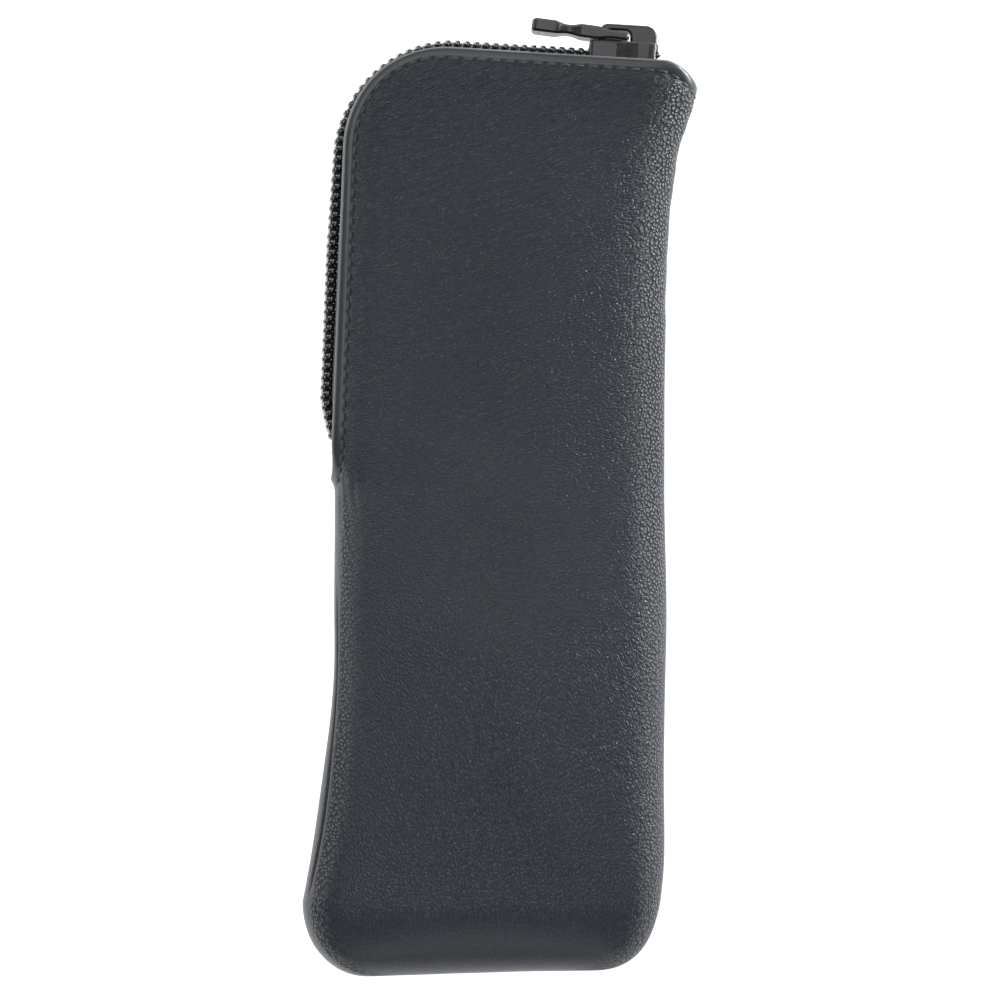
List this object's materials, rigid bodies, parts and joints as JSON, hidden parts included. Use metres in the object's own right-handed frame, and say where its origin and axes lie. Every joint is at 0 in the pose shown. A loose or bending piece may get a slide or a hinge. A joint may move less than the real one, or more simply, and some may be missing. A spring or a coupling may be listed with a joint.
{
  "type": "fountain pen case",
  "caption": "Slim soft leather pen case lying on its back, with a zip up one side and across the top, a sliding zip slider and a hinged pull.",
  "frame": {"origin": "on the flat of the back panel, half way along the case and half way across its waist", "axes": "+Y along the case to the zipped top end, +X across to the folded side, +Z out of the front panel"},
  "size_m": [0.069, 0.1686, 0.0184],
  "materials": {
    "leather": "soft pebbled, very dark slate blue",
    "lining": "thin woven lining",
    "tape": "woven zip tape",
    "coil": "nylon filament",
    "metal": "cast, dark satin coating"
  },
  "bodies": {
    "case": {"leather_body": "leather", "lining": "lining", "zip_tape_front": "tape", "zip_tape_back": "tape", "zip_coil_front": "coil", "zip_coil_back": "coil", "coil_cord_front": "tape", "coil_cord_back": "tape", "top_stop_front": "metal", "top_stop_back": "metal", "bottom_stop": "metal"},
    "slider": {"slider_body": "metal"},
    "pull": {"zip_pull": "metal"}
  },
  "joints": [
    {"name": "zip_slide", "type": "slide", "parent": "case", "child": "slider", "axis": [-0.9981, 0.061, 0], "range_m": [0, 0.023], "deforming": ["zip_coil_front", "zip_coil_back", "coil_cord_front", "coil_cord_back"]},
    {"name": "pull_pivot", "type": "hinge", "parent": "slider", "child": "pull", "pos_m": [0.02236, 0.08407, 0.00752], "axis": [0, 0, -1], "range_deg": [0, 130]}
  ]
}
